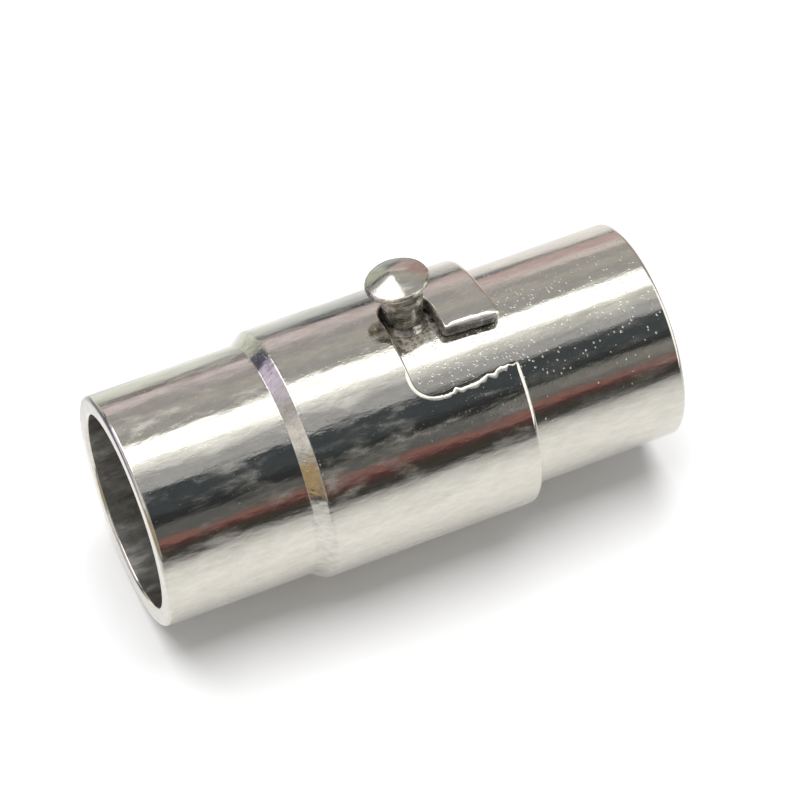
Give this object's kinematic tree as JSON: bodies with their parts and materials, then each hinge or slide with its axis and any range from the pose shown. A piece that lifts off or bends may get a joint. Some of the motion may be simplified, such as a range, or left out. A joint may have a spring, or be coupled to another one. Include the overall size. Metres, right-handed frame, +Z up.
{
  "type": "magnetic tube clasp with a turn-and-lock sleeve",
  "caption": "Magnetic tube clasp for a round cord: two glue-in cups, a sleeve with an L-shaped slot and a domed pin that turns and locks in it.",
  "frame": {"origin": "on the surface that the closed clasp lies on, below the middle of its length", "axes": "+X along the clasp's axis from the socket half to the plug half, +Z up, -Y the side with the slot's open leg"},
  "size_m": [0.0174, 0.008, 0.0094],
  "materials": {
    "polished_plate": "polished plating over brass",
    "grained_plate": "bright plating with a fine grain",
    "pin_plate": "polished plating",
    "magnet": "nickel-plated magnet"
  },
  "bodies": {
    "socket": {"socket_half": "polished_plate", "socket_magnet": "magnet"},
    "plug": {"plug_half": "grained_plate", "plug_magnet": "magnet", "lock_pin": "pin_plate"}
  },
  "joints": [
    {"name": "twist_lock", "type": "hinge", "parent": "socket", "child": "plug", "pos_m": [0, 0, 0.004], "axis": [1, 0, 0], "range_deg": [0, 35]}
  ]
}
